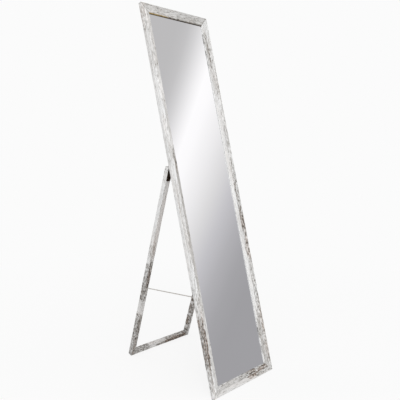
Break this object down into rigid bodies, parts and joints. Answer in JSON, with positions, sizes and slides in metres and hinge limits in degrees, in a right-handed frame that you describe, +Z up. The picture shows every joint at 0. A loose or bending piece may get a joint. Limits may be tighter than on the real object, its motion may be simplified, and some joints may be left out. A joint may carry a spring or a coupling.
{
  "type": "easel-backed floor mirror",
  "caption": "Tall narrow floor mirror in a whitewashed distressed wooden moulding, leaning back on a hinged leg frame that stay cords hold open.",
  "frame": {"origin": "middle of the footprint, on the floor", "axes": "+Z up, +X to the viewer's right along the mirror's width, +Y to the back, towards the leg's foot"},
  "size_m": [0.35, 0.5282, 1.4492],
  "materials": {
    "whitewashed_moulding": "whitewashed and distressed, matt",
    "whitewashed_leg": "thin worn whitewash, matt",
    "mirror_glass": "silvered glass",
    "backing_board": "brown hardboard",
    "steel_wire": "bright steel wire",
    "plated_steel": "zinc plated",
    "dark_bronze": "dark bronzed steel",
    "stay_cord": "twisted cotton"
  },
  "bodies": {
    "mirror": {"frame_top_rail": "whitewashed_moulding", "frame_bottom_rail": "whitewashed_moulding", "frame_left_stile": "whitewashed_moulding", "frame_right_stile": "whitewashed_moulding", "frame_corner_nails": "steel_wire", "mirror_glass": "mirror_glass", "backing_board": "backing_board", "backing_clips": "plated_steel", "backing_clip_screws": "plated_steel", "left_hinge_frame_leaf": "dark_bronze", "right_hinge_frame_leaf": "dark_bronze", "left_hinge_pin": "dark_bronze", "right_hinge_pin": "dark_bronze", "frame_hinge_screws": "dark_bronze", "frame_cord_staples": "steel_wire", "left_stay_cord": "stay_cord", "right_stay_cord": "stay_cord"},
    "leg": {"leg_left_stile": "whitewashed_leg", "leg_right_stile": "whitewashed_leg", "leg_bottom_rail": "whitewashed_leg", "leg_top_rail": "whitewashed_leg", "leg_corner_nails": "steel_wire", "left_hinge_leg_leaf": "dark_bronze", "right_hinge_leg_leaf": "dark_bronze", "leg_hinge_screws": "dark_bronze", "leg_cord_staples": "steel_wire"}
  },
  "joints": [
    {"name": "leg_fold", "type": "hinge", "parent": "mirror", "child": "leg", "pos_m": [0, -0.01821, 0.82757], "axis": [1, 0, 0], "range_deg": [-32.8, 0], "deforming": ["left_stay_cord", "right_stay_cord"]}
  ]
}
